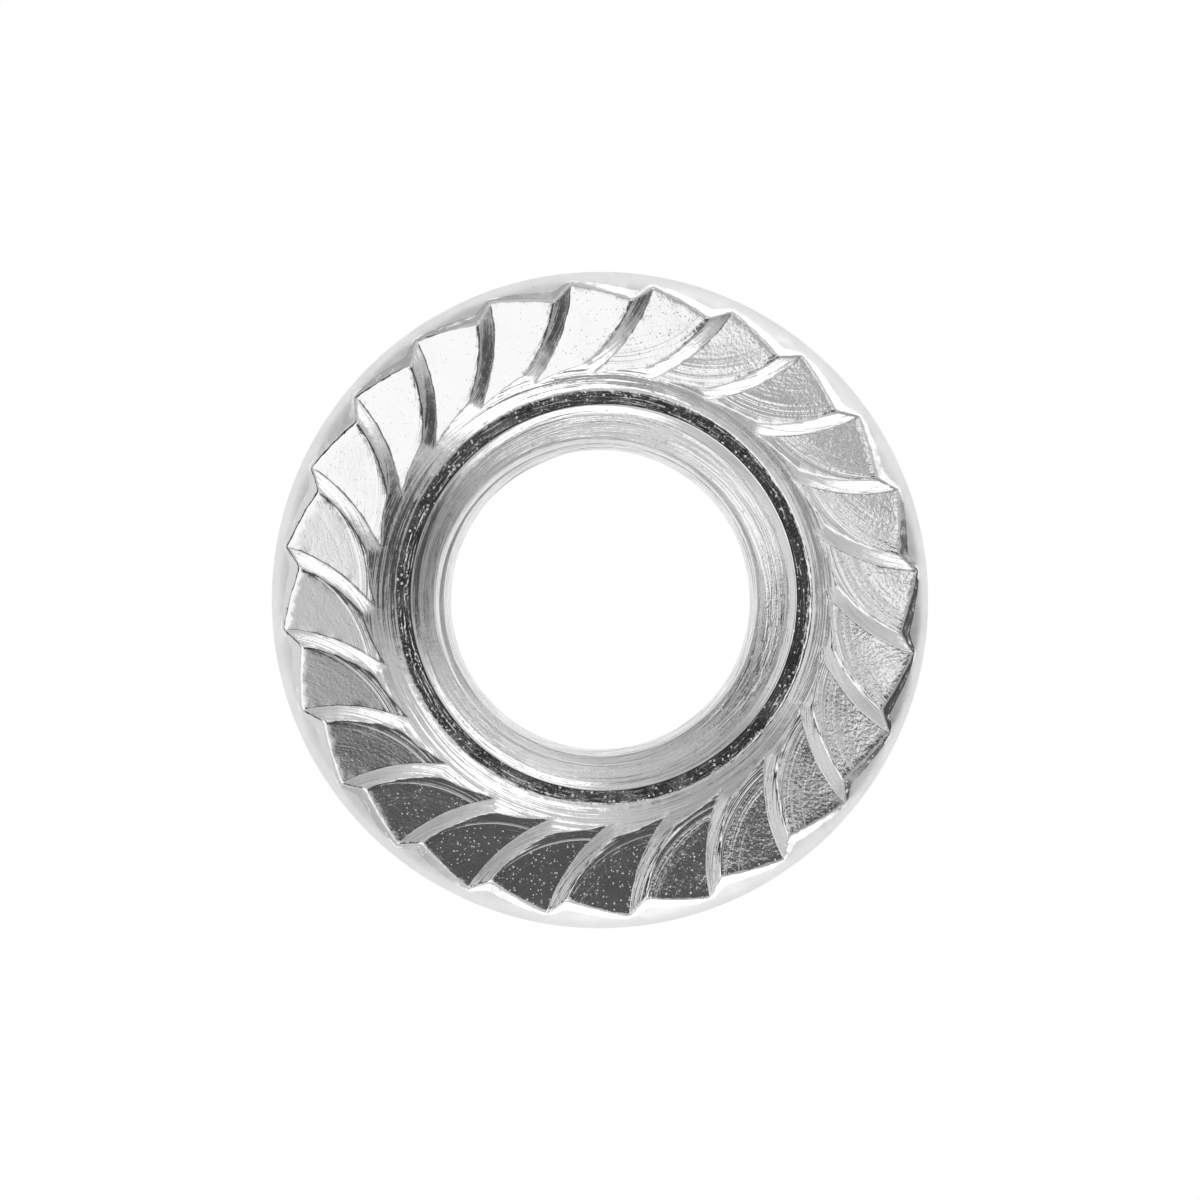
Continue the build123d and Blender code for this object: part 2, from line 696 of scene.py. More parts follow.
    def arc_line(self, start: float, stop: float, plane: int) -> np.ndarray:
        """Points where the first serration's wall meets a ramp's plane.

        Args:
            start: First angle about the crest centre.
            stop: Last angle about the crest centre.
            plane: 0 for its own ramp, so the crest, or -1 for the ramp before it, so the root.

        Returns:
            Array of x, y rows, evenly spread in angle.
        """
        ray = directions(np.linspace(start, stop, self.line_samples))
        downhill = turned(self.downhill, plane * self.pitch)
        corner = turned(self.corner, plane * self.pitch)
        drop = self.ramp * ((self.centre - corner) @ downhill)
        reach = (self.crest_r * self.steep + drop) / (self.steep - self.ramp * (ray @ downhill))
        return self.centre + ray * reach[:, None]

    def side(self) -> list[np.ndarray]:
        """Corner lines along the tile's clockwise side.

        Returns:
            The run across the bevel, the root line, the radial valley and the run over the ring,
            each from the rim inwards.
        """
        step = 360 / self.sizes.columns
        end = self.phase - self.pitch / 2
        valley = turned(np.array([1.0, 0.0]), end)
        line = self.open_part(self.arc_line(*self.root_span, -1), -1)
        outer = turned(np.array([self.join_r, 0.0]), round(bearing(line[0]) / step) * step)
        inner = turned(np.array([self.inner_r, 0.0]), round(end / step) * step)
        return [
            resampled(np.array([outer, line[0]]), self.line_step),
            resampled(line, self.line_step),
            resampled(np.array([line[-1], valley * self.lip_r]), self.line_step),
            resampled(np.array([valley * self.lip_r, inner]), self.fill_step),
        ]

    def arc_between(self, radius: float, start: np.ndarray, stop: np.ndarray) -> np.ndarray:
        """Points on a circle about the axis at whole column steps.

        Args:
            radius: The circle's radius.
            start: Point at whose bearing it starts.
            stop: Point at whose bearing it stops.

        Returns:
            Array of x, y rows.
        """
        step = 360 / self.sizes.columns
        first, last = (round(bearing(point) / step) for point in (start, stop))
        return directions(np.arange(first, last + 1) * step) * radius

    def lip_between(self, start: np.ndarray, stop: np.ndarray) -> np.ndarray:
        """Line where the first ramp ends at the slope round the ring, between two points.

        Args:
            start: Where the crest ends.
            stop: Where the next root ends.

        Returns:
            Array of x, y rows.
        """
        line = self.lip_line(np.linspace(bearing(start), bearing(stop), self.lip_samples))
        line[0], line[-1] = start, stop
        return resampled(line, self.line_step)

    def scallop_between(self, start: np.ndarray, stop: np.ndarray) -> np.ndarray:
        """Foot of the slope round the ring, between two points.

        Args:
            start: Foot of the valley on the tile's clockwise side.
            stop: Foot of the valley on its other side.

        Returns:
            Array of x, y rows.
        """
        end = self.phase + self.pitch / 2
        line = directions(np.linspace(end - self.pitch, end, self.foot_samples)) * self.lip_r
        line[0], line[-1] = start, stop
        return line

    def border_between(self, start: np.ndarray, stop: np.ndarray) -> tuple[np.ndarray, np.ndarray]:
        """End of the serrations at the bevel, and the foot of the bright band outside it.

        Args:
            start: Where the root on the tile's clockwise side starts.
            stop: Where the next root starts.

        Returns:
            Both lines as arrays of x, y rows; the second stops short of the tile's sides.
        """
        first = bearing(start)
        turns = np.linspace(first, first + self.pitch, self.line_samples)
        unit = directions(turns)
        edge = self.worn_border_r(turns)
        hem = unit * (edge + self.shear_width(edge))[:, None]
        border = resampled(unit * self.border_r(turns)[:, None], self.line_step)
        border[0], border[-1] = start, stop
        return border, resampled(hem, self.line_step)[1:-1]

    def tile_lines(self) -> TileLines:
        """Lays out the lines of the first serration's tile.

        Returns:
            The lines.
        """
        runs = self.side()
        left = joined(runs)
        right = turned(left, self.pitch)
        inner = self.arc_between(self.inner_r, left[-1], right[-1])
        outer = self.arc_between(self.join_r, left[0], right[0])
        tip, merge, foot = (turned(runs[i][0], self.pitch) for i in (1, 2, 3))
        crest = self.open_part(self.arc_line(*self.crest_span, 0), 0)
        border, hem = self.border_between(runs[1][0], tip)
        return TileLines(
            loop=np.vstack([left, inner[1:], right[::-1][1:], outer[::-1][1:-1]]),
            left=left,
            right=right,
            crest=resampled(crest, self.line_step),
            scallop=self.scallop_between(runs[3][0], foot),
            border=border,
            lip=self.lip_between(crest[-1], merge),
            hem=hem,
            root=runs[1],
        )

    def edge_rows(self, lines: TileLines) -> list[tuple[np.ndarray, float]]:
        """Rows of points beside the tile's edges and inside its joint with the rim.

        Args:
            lines: The tile's lines.

        Returns:
            Each row as an array of x, y rows, with the least distance that its points keep.
        """
        order = [(line, self.side_gaps) for line in (lines.crest, lines.scallop)]
        order.append((lines.border, self.border_gaps))
        order += [(line, self.side_gaps) for line in (lines.left, lines.right, lines.lip)]
        order.append((lines.hem, self.hem_gaps))
        fixed = np.vstack(lines.fixed())
        rows = [beside(line, gap) for line, gaps in order for gap in gaps]
        offers = [(thinned(row, fixed, self.least_gap), self.least_gap) for row in rows]
        joint = [
            self.arc_between(self.join_r - gap, lines.left[0], lines.right[0])
            for gap in self.join_gaps
        ]
        joint_least = 0.05
        return [*offers, (np.vstack(joint), joint_least)]

    def open_field(self, loop: np.ndarray) -> np.ndarray:
        """An even field of points over the tile, in triangles as wide as the open spacing.

        Args:
            loop: The tile's outline.

        Returns:
            Array of x, y rows.
        """
        row_rise = 0.87
        low, high = loop.min(0), loop.max(0)
        xs = np.arange(low[0], high[0], self.fill_step)
        ys = np.arange(low[1], high[1], self.fill_step * row_rise)
        field_x, field_y = np.meshgrid(xs, ys)
        field_x[1::2] += self.fill_step / 2
        return np.stack([field_x, field_y], -1).reshape(-1, 2)

    def tile_points(self, lines: TileLines) -> list[np.ndarray]:
        """Free points of the tile: rows beside its edges, and a field of them in between.

        Args:
            lines: The tile's lines.

        Returns:
            Arrays of x, y rows, none of them too close to another or to a line.
        """
        field_least = 0.55 * self.fill_step
        offers = [*self.edge_rows(lines), (self.open_field(lines.loop), field_least)]
        kept, taken = np.vstack(lines.fixed()), []
        for points, least in offers:
            points = thinned(points[inside(lines.loop, points)], kept, least)
            taken.append(points)
            kept = np.vstack([kept, points])
        return taken

    def tile(self) -> bpy.types.Mesh:
        """Mesh of one serration with its share of rim and ring, fine along every edge.

        Returns:
            A mesh with a UV map about the crest centre and an "edge" attribute.
        """
        lines = self.tile_lines()
        fixed = lines.fixed()
        count = len(lines.loop)
        links = [(i, (i + 1) % count) for i in range(count)]
        for line in fixed[1:]:
            links += [(count + i, count + i + 1) for i in range(len(line) - 1)]
            count += len(line)
        plan = [Vector(point) for point in np.vstack(fixed + self.tile_points(lines)).tolist()]
        inside_only, snap = 1, 1e-5
        flat, _, faces, _, _, _ = delaunay_2d_cdt(plan, links, [], inside_only, snap)
        flat = np.array([tuple(point) for point in flat])
        roots = np.vstack([lines.root, turned(lines.root, self.pitch)])
        worn = [lines.crest, lines.border, lines.lip, lines.scallop, roots, lines.hem]
        return self.tile_mesh(flat, faces, np.vstack(worn))

    def tile_mesh(
        self, plan: np.ndarray, faces: list[list[int]], edges: np.ndarray
    ) -> bpy.types.Mesh:
        """Lifts the flat tile to its heights and gives it zones, UV map and edge weights.

        Args:
            plan: Array of x, y rows.
            faces: Triangles as vertex indices.
            edges: Points along the crests, roots and border.

        Returns:
            The tile's mesh, in metres.
        """
        skin = Skin(np.column_stack([plan, self.height(plan)]), faces, Zone.SERRATION)
        mesh = skin.to_mesh("serration_tile")
        middle = np.array([plan[list(f)].mean(0) for f in faces])
        turn = bearings(middle)
        radius = np.linalg.norm(middle, axis=1)
        edge = self.worn_border_r(turn)
        zone = np.full(len(faces), int(Zone.SERRATION))
        zone[radius > self.border_r(turn)] = int(Zone.SHEAR)
        zone[self.lip_height(middle) < self.teeth_height(middle, False)] = int(Zone.SHEAR)
        zone[radius > edge + self.shear_width(edge)] = int(Zone.RIM)
        zone[radius < self.lip_r] = int(Zone.RING)
        layer = mesh.attributes.new("zone", "INT", "FACE")
        layer.data.foreach_set("value", zone)
        near = np.array([np.min(np.linalg.norm(edges - p, axis=1)) for p in plan])
        weight = mesh.attributes.new("edge", "FLOAT", "POINT")
        weight.data.foreach_set("value", np.clip(1 - near / self.wear_reach, 0, 1))
        away = plan - self.centre
        sweep = np.unwrap(np.arctan2(away[:, 1], away[:, 0])) % (2 * np.pi)
        about = np.stack([self.crest_r - np.linalg.norm(away, axis=1), sweep * self.crest_r], 1)
        corner = np.zeros(len(mesh.loops), int)
        mesh.loops.foreach_get("vertex_index", corner)
        mesh.uv_layers.new(name="UVMap").data.foreach_set("uv", about[corner].ravel())
        return mesh

    @staticmethod
    def zone_inputs() -> dict[str, Zone]:
        """Names of the node tree's material inputs and the zones they finish."""
        names = ("Formed", "Sheared", "Rim", "Ring")
        return dict(zip(names, (Zone.SERRATION, Zone.SHEAR, Zone.RIM, Zone.RING)))

    def repeat_tree(self) -> bpy.types.NodeTree:
        """Node tree that repeats the tile about the axis, wears its edges and gives its finishes.

        Returns:
            The geometry node tree.
        """
        tree = bpy.data.node_groups.new("serrations_about_axis", "GeometryNodeTree")
        face = tree.interface
        face.new_socket("Geometry", in_out="INPUT", socket_type="NodeSocketGeometry")
        face.new_socket("Count", in_out="INPUT", socket_type="NodeSocketInt")
        for name in ("Merge Gap", "Edge Wear", "Wear Size", "Seed"):
            face.new_socket(name, in_out="INPUT", socket_type="NodeSocketFloat")
        for name in self.zone_inputs():
            face.new_socket(name, in_out="INPUT", socket_type="NodeSocketMaterial")
        face.new_socket("Geometry", in_out="OUTPUT", socket_type="NodeSocketGeometry")
        given = add_node(tree, "NodeGroupInput").outputs
        index = add_node(tree, "GeometryNodeInputIndex").outputs[0]
        share = add_node(
            tree, "ShaderNodeMath", {0: 2 * math.pi, 1: given["Count"]}, operation="DIVIDE"
        )
        angle = add_node(
            tree, "ShaderNodeMath", {0: index, 1: share.outputs[0]}, operation="MULTIPLY"
        )
        turn = add_node(tree, "ShaderNodeCombineXYZ", {"Z": angle.outputs[0]})
        seats = add_node(tree, "GeometryNodePoints", {"Count": given["Count"]})
        copies = add_node(
            tree,
            "GeometryNodeInstanceOnPoints",
            {
                "Points": seats.outputs[0],
                "Instance": given["Geometry"],
                "Rotation": turn.outputs[0],
            },
        )
        marked = add_node(
            tree,
            "GeometryNodeStoreNamedAttribute",
            {"Geometry": copies.outputs[0], "Name": "tooth", "Value": index},
            data_type="FLOAT",
            domain="INSTANCE",
        )
        real = add_node(tree, "GeometryNodeRealizeInstances", {0: marked.outputs[0]})
        whole = add_node(
            tree,
            "GeometryNodeMergeByDistance",
            {"Geometry": real.outputs[0], "Distance": given["Merge Gap"]},
        )
        edge = add_node(
            tree, "GeometryNodeInputNamedAttribute", {"Name": "edge"}, data_type="FLOAT"
        )
        fine = add_node(
            tree, "ShaderNodeMath", {0: 1.0, 1: given["Wear Size"]}, operation="DIVIDE"
        )
        noise = add_node(
            tree,
            "ShaderNodeTexNoise",
            {"W": given["Seed"], "Scale": fine.outputs[0], "Detail": 2.0},
            noise_dimensions="4D",
        )
        swing = add_node(
            tree,
            "ShaderNodeVectorMath",
            {0: noise.outputs["Color"], 1: (0.5, 0.5, 0.5)},
            operation="SUBTRACT",
        )
        size = add_node(
            tree,
            "ShaderNodeMath",
            {0: edge.outputs[0], 1: given["Edge Wear"]},
            operation="MULTIPLY",
        )
        shift = add_node(
            tree,
            "ShaderNodeVectorMath",
            {0: swing.outputs[0], "Scale": size.outputs[0]},
            operation="SCALE",
        )
        worn = add_node(
            tree,
            "GeometryNodeSetPosition",
            {"Geometry": whole.outputs[0], "Offset": shift.outputs[0]},
        )
        zone = add_node(
            tree, "GeometryNodeInputNamedAttribute", {"Name": "zone"}, data_type="INT"
        )
        skin = worn.outputs[0]
        for name, kind in self.zone_inputs().items():
            chosen = add_node(
                tree,
                "FunctionNodeCompare",
                {2: zone.outputs[0], 3: int(kind)},
                data_type="INT",
                operation="EQUAL",
            )
            skin = add_node(
                tree,
                "GeometryNodeSetMaterial",
                {"Geometry": skin, "Selection": chosen.outputs[0], "Material": given[name]},
            ).outputs[0]
        add_node(tree, "NodeGroupOutput", {0: skin})
        return tree

    def build(self, finishes: dict[Zone, bpy.types.Material]) -> bpy.types.Mesh:
        """Repeats the tile about the axis.

        Args:
            finishes: The material of each zone.

        Returns:
            The whole face as a plain mesh.
        """
        holder = bpy.data.objects.new("serration_ring", self.tile())
        bpy.context.scene.collection.objects.link(holder)
        for zone in Zone:
            holder.data.materials.append(finishes[zone])
        tree = self.repeat_tree()
        modifier = holder.modifiers.new("repeat", "NODES")
        modifier.node_group = tree
        values = {
            "Count": self.count,
            "Merge Gap": MERGE_GAP * MM,
            "Edge Wear": self.edge_wear * MM,
            "Wear Size": self.wear_size * MM,
            "Seed": self.wear_seed,
        } | {name: finishes[zone] for name, zone in self.zone_inputs().items()}
        for item in tree.interface.items_tree:
            if item.item_type == "SOCKET" and item.in_out == "INPUT" and item.name in values:
                modifier[item.identifier] = values[item.name]
        graph = bpy.context.evaluated_depsgraph_get()
        mesh = bpy.data.meshes.new_from_object(holder.evaluated_get(graph))
        mesh.name = "serration_ring"
        holder.modifiers.remove(modifier)
        bpy.data.objects.remove(holder)
        return mesh


@dataclass
class Forging:
    """Everything outside the face: rim, back cone, hexagon and the plain end.

    Attributes:
        sizes: Driving sizes of the nut.
        ring: The face that it meets at the rim.
        lower_step: How far inside the plain end's mouth the bore's skin takes over.
        edge_columns: Mesh columns on half an upright edge.
        crowding: How strongly the other columns crowd towards the upright edges.
        upper_rows: Mesh rows on the rim's upper rounding.
        lower_rows: Mesh rows on its lower rounding.
        run_rows: Mesh rows on the flange's back, the hexagon, its chamfer, the plain end's
            face and its mouth.
        end_rows: Number of rows over which the columns spread evenly again at the plain end.
        chamfer_cut: Length taken off the hexagon's chamfered edges by their rounding.
        face_cut: The same at the plain end's face.
        mouth_cut: The same at its mouth.
    """

    sizes: NutSizes
    ring: SerrationRing
    lower_step: float = 0.15
    edge_columns: int = 4
    crowding: float = 1.2
    upper_rows: int = 5
    lower_rows: int = 8
    run_rows: tuple[int, ...] = (5, 4, 3, 3, 1)
    end_rows: int = 12
    chamfer_cut: float = 0.08
    face_cut: float = 0.1
    mouth_cut: float = 0.04

    def hexagon_r(self, turn: np.ndarray) -> np.ndarray:
        """Distance of the rounded hexagon's wall from the axis.

        Args:
            turn: Angles from +X, where one corner is.

        Returns:
            One radius per angle.
        """
        s, side, half = self.sizes, 360 / SIDES, 180 / SIDES
        off = np.abs((turn + half) % side - half)
        apothem = s.across_flats / 2
        core = (apothem - s.hex_edge_r) / math.cos(math.radians(half))
        a = np.radians(off)
        bend = np.clip(s.hex_edge_r**2 - (core * np.sin(a)) ** 2, 0, None)
        corner = core * np.cos(a) + np.sqrt(bend)
        flat = apothem / np.cos(np.radians(half - off))
        return np.where(off < self.edge_span(), corner, flat)

    def edge_span(self) -> float:
        """Half the angle that one rounded upright edge takes, seen from the axis.

        Returns:
            The angle in degrees.
        """
        s, slant = self.sizes, math.cos(math.radians(180 / SIDES))
        core = (s.across_flats / 2 - s.hex_edge_r) / slant
        run = core + s.hex_edge_r * slant
        return math.degrees(math.atan2(s.hex_edge_r / 2, run))

    def hexagon_turns(self) -> np.ndarray:
        """Angles of the columns on the hexagon, crowded at its upright edges.

        Returns:
            One angle from +X per column.
        """
        side, half = 360 / SIDES, 180 / SIDES
        count, near = self.sizes.columns // (2 * SIDES), self.edge_columns
        span = self.edge_span()
        steps = np.arange(count + 1)
        share = (np.clip(steps - near, 0, None) / (count - near)) ** self.crowding
        off = np.where(steps <= near, steps * span / near, span + (half - span) * share)
        one = np.concatenate([off, side - off[::-1][1:]])[:-1]
        return np.concatenate([one + side * k for k in range(SIDES)])

    def rim_rows(self) -> list[np.ndarray]:
        """Rows round the rounded rim, from the face's edge to the flange's back.

        Returns:
            One level line per row.
        """
        s, ring = self.sizes, self.ring
        upper = np.radians(np.linspace(90 - ring.join_angle, 0, self.upper_rows))
        lower = np.radians(np.linspace(0, 90 - s.back_slope, self.lower_rows))
        arcs = [(a, ring.rim_z, s.rim_r) for a in upper]
        arcs += [(a, ring.rim_z - s.rim_land, -s.rim_r) for a in lower]
        return [
            level_line(s.columns, ring.arc_r + s.rim_r * math.cos(a), middle + rise * math.sin(a))
            for a, middle, rise in arcs
        ]

    def body_rows(self, start: np.ndarray) -> np.ndarray:
        """Rows down the flange's back, the hexagon, the plain end and its mouth.

        Args:
            start: The last row of the rim.

        Returns:
            Array of rows by columns by (radius, height), the first one the rim's last.
        """
        s = self.sizes
        wall = self.hexagon_r(self.hexagon_turns())
        back = math.tan(math.radians(s.back_slope))
        mouth = math.tan(math.radians(s.mouth_slope))
        face_r = (s.across_flats - s.end_face_clearance) / 2
        end_slope = math.tan(math.radians(s.end_chamfer))
        join_r = s.mouth_r - self.lower_step
        corners = [
            start,
            np.stack([wall, start[:, 1] - (start[:, 0] - wall) * back], -1),
            np.stack([wall, (wall - face_r) * end_slope], -1),
            level_line(s.columns, face_r, 0.0),
            level_line(s.columns, s.mouth_r, 0.0),
            level_line(s.columns, join_r, (s.mouth_r - join_r) * mouth),
        ]
        root_cut = s.root_fillet * math.tan(math.radians(90 - s.back_slope) / 2)
        cuts = [0, root_cut, self.chamfer_cut, self.face_cut, self.mouth_cut, 0]
        return rounded_rows(corners, cuts, list(self.run_rows))

    def build(self) -> Skin:
        """Skins the outside from the face's edge down to the plain end's mouth.

        The columns stand evenly at the rim, crowd at the hexagon's upright edges and stand
        evenly again at the mouth.

        Returns:
            The skin.
        """
        rim = self.rim_rows()
        body = self.body_rows(rim[-1])[1:]
        back_rows, end_rows = self.run_rows[0], self.end_rows
        crowd = [0.0] * len(rim) + list(np.linspace(1 / back_rows, 1, back_rows))
        crowd += [1.0] * (len(body) - back_rows)
        crowd[-end_rows:] = [i / end_rows for i in reversed(range(end_rows))]
        mix = np.array(crowd)[:, None]
        even = np.arange(self.sizes.columns) * 360 / self.sizes.columns
        turns = np.radians(even * (1 - mix) + self.hexagon_turns() * mix)
        points = revolved(np.array([*rim, *body]), turns)
        faces = grid_faces(len(points), self.sizes.columns, True)
        return Skin(points.reshape(-1, 3), faces.tolist(), Zone.HEXAGON)


@dataclass
class ThreadBore:
    """The right-hand thread, its two countersunk mouths and the broken edge at the ring.

    Attributes:
        sizes: Driving sizes of the nut.
        ring_margin: Width of the ring's floor that belongs to this skin.
        lower_step: How far inside the plain end's mouth this skin starts.
        start_turn: Where the thread starts, as a share of a turn.
        turns_below: How far below the plain end the lowest turn of the groove lies, in turns.
        spare_turns: Turns of the groove beyond the nut's height, for the mouths to cut.
        root_flat: Width of the flat at the groove's root, in pitches.
        bell_r: Radius to which the first crest opens where the thread starts.
        bell_depth: Depth over which it opens.
        crest_cut: Length taken off a crest's edges by their rounding.
        root_cut: The same at a root.
        break_cut: The same at the mouths' edges.
        break_slope: Slope of the broken edge at the ring.
        flank_slope: Slope of the thread's flanks and of the countersink below the broken edge.
        arc_rows: Mesh rows in each rounding.
        edge_rows: Mesh rows on the broken edge.
        turn_rows: Mesh rows above each of a groove's four edges.
    """

    sizes: NutSizes
    ring_margin: float
    lower_step: float
    start_turn: float = 0.586
    turns_below: float = 2.2
    spare_turns: int = 4
    root_flat: float = 1 / 8
    bell_r: float = 4.55
    bell_depth: float = 0.8
    crest_cut: float = 0.12
    root_cut: float = 0.05
    break_cut: float = 0.03
    break_slope: float = 41.0
    flank_slope: float = 30.0
    arc_rows: int = 3
    edge_rows: int = 4
    turn_rows: tuple[int, int, int, int] = (1, 3, 1, 3)

    def __post_init__(self) -> None:
        """Works out the groove's form and the heights at which the mouths cut it."""
        s = self.sizes
        self.fall = math.tan(math.radians(self.flank_slope))
        self.depth = s.thread_r - s.bore_r
        self.root_half = s.pitch * self.root_flat / 2
        self.share = np.arange(s.columns + 1) / s.columns
        drop = math.tan(math.radians(self.break_slope))
        self.top = s.ring_z - (s.mouth_r - s.thread_r) * drop
        self.foot = self.top - (s.thread_r - self.bell_r) * self.fall
        self.low = (s.mouth_r - s.thread_r) * self.fall
        self.grooves = int(s.height / s.pitch) + self.spare_turns

    def middle(self, k: int) -> np.ndarray:
        """Height of the middle of one turn of the groove, in every column."""
        return self.sizes.pitch * (k + self.share - self.turns_below + self.start_turn)

    def groove(self, k: int) -> list[np.ndarray]:
        """Heights of one turn of the groove's four edges, from the top one down.

        Args:
            k: Which turn.

        Returns:
            Crest, root, root and crest heights per column.
        """
        flank = self.root_half + self.depth * self.fall
        return [self.middle(k) + o for o in (flank, self.root_half, -self.root_half, -flank)]

    def cut_grooves(self) -> list[list[np.ndarray]]:
        """Heights of every groove's edges once the two mouths have cut them.

        A turn that lies past a mouth is squeezed flat, so that every column has as many rows.

        Returns:
            The four edges of each turn, as groove() gives them.
        """
        count = self.grooves
        low_foot = self.low + self.depth * self.fall
        below = np.full_like(self.share, -self.sizes.height)
        above = np.full_like(self.share, 2 * self.sizes.height)
        cut = []
        for k in range(count):
            a, b, c, d = self.groove(k)
            b, c = np.minimum(b, self.top), np.minimum(c, self.top)
            cut.append([np.minimum(a, (self.top + b) / 2), b, c, d])
        for k in range(count):
            lower = cut[k - 1][0] if k else below
            cut[k][3] = np.minimum(cut[k][3], np.maximum(self.foot, lower))
        for k in range(count):
            a, b, c, d = cut[k]
            c, b = np.maximum(c, self.low), np.maximum(b, self.low)
            cut[k] = [a, b, c, np.maximum(d, (self.low + c) / 2)]
        for k in range(count):
            upper = cut[k + 1][3] if k + 1 < count else above
            cut[k][0] = np.maximum(cut[k][0], np.minimum(low_foot, upper))
        return cut

    def reach(self, z: np.ndarray, k: int) -> np.ndarray:
        """Distance of the bore's skin from the axis.

        Args:
            z: Height per column.
            k: The turn of the groove that the heights belong to.

        Returns:
            One radius per column.
        """
        s = self.sizes
        inset = np.clip(np.abs(z - self.middle(k)) - self.root_half, 0, None) / self.fall
        cone = s.thread_r - (self.top - z) / self.fall
        low_cone = s.thread_r - (z - self.low) / self.fall
        bell = np.clip(1 - (self.foot - z) / self.bell_depth, 0, 1) * (self.bell_r - s.bore_r)
        reach = np.maximum(s.thread_r - inset, np.maximum(cone, low_cone))
        return np.clip(reach, s.bore_r + bell, s.thread_r)

    def build(self) -> list[Skin]:
        """Skins the bore with rows that follow the thread's edges and end on the mouths.

        Returns:
            The broken edge at the ring, and the bore below it.
        """
        s, columns = self.sizes, len(self.share)
        corners = [
            level_line(columns, s.mouth_r + self.ring_margin, s.ring_z),
            level_line(columns, s.mouth_r, s.ring_z),
            level_line(columns, s.thread_r, self.top),
        ]
        cuts, steps = [0.0, self.break_cut, self.break_cut], [1, self.edge_rows]
        cut = self.cut_grooves()
        for k in reversed(range(self.grooves)):
            for j in range(4):
                corners.append(np.stack([self.reach(cut[k][j], k), cut[k][j]], -1))
                cuts.append(self.crest_cut if j in (0, 3) else self.root_cut)
                steps.append(self.turn_rows[j])
        corners.append(level_line(columns, s.thread_r, self.low))
        join_r = s.mouth_r - self.lower_step
        mouth = math.tan(math.radians(s.mouth_slope))
        corners.append(level_line(columns, join_r, (s.mouth_r - join_r) * mouth))
        cuts += [self.break_cut, 0.0]
        steps += [1, 1]
        rows = rounded_rows(corners, cuts, steps, self.arc_rows)
        grid = revolved(rows, 2 * np.pi * self.share)
        # The cut thread's finish starts one row above the foot of the broken edge.
        seam = steps[0] + self.arc_rows + self.edge_rows - 1
        skins = []
        for part, zone in ((grid[: seam + 1], Zone.SHEAR), (grid[seam:], Zone.THREAD)):
            faces = grid_faces(len(part), columns, False).tolist()
            skins.append(Skin(part.reshape(-1, 3), faces, zone))
        return skins


@dataclass(frozen=True)
class Grain:
    """One layer of surface relief.

    Attributes:
        across: Width of its marks in millimetres.
        along: Length of its marks in millimetres.
        height: Height of the relief in millimetres.
        patch: Size of the patches in which it is strong, in millimetres; 0 makes it even.
        fade: Distance from a crest over which it fades out, in millimetres; 0 keeps it.
        walled: Whether it is only on the serrations' steep walls.
    """

    across: float
    along: float
    height: float
    patch: float = 0.0
    fade: float = 0.0
    walled: bool = False


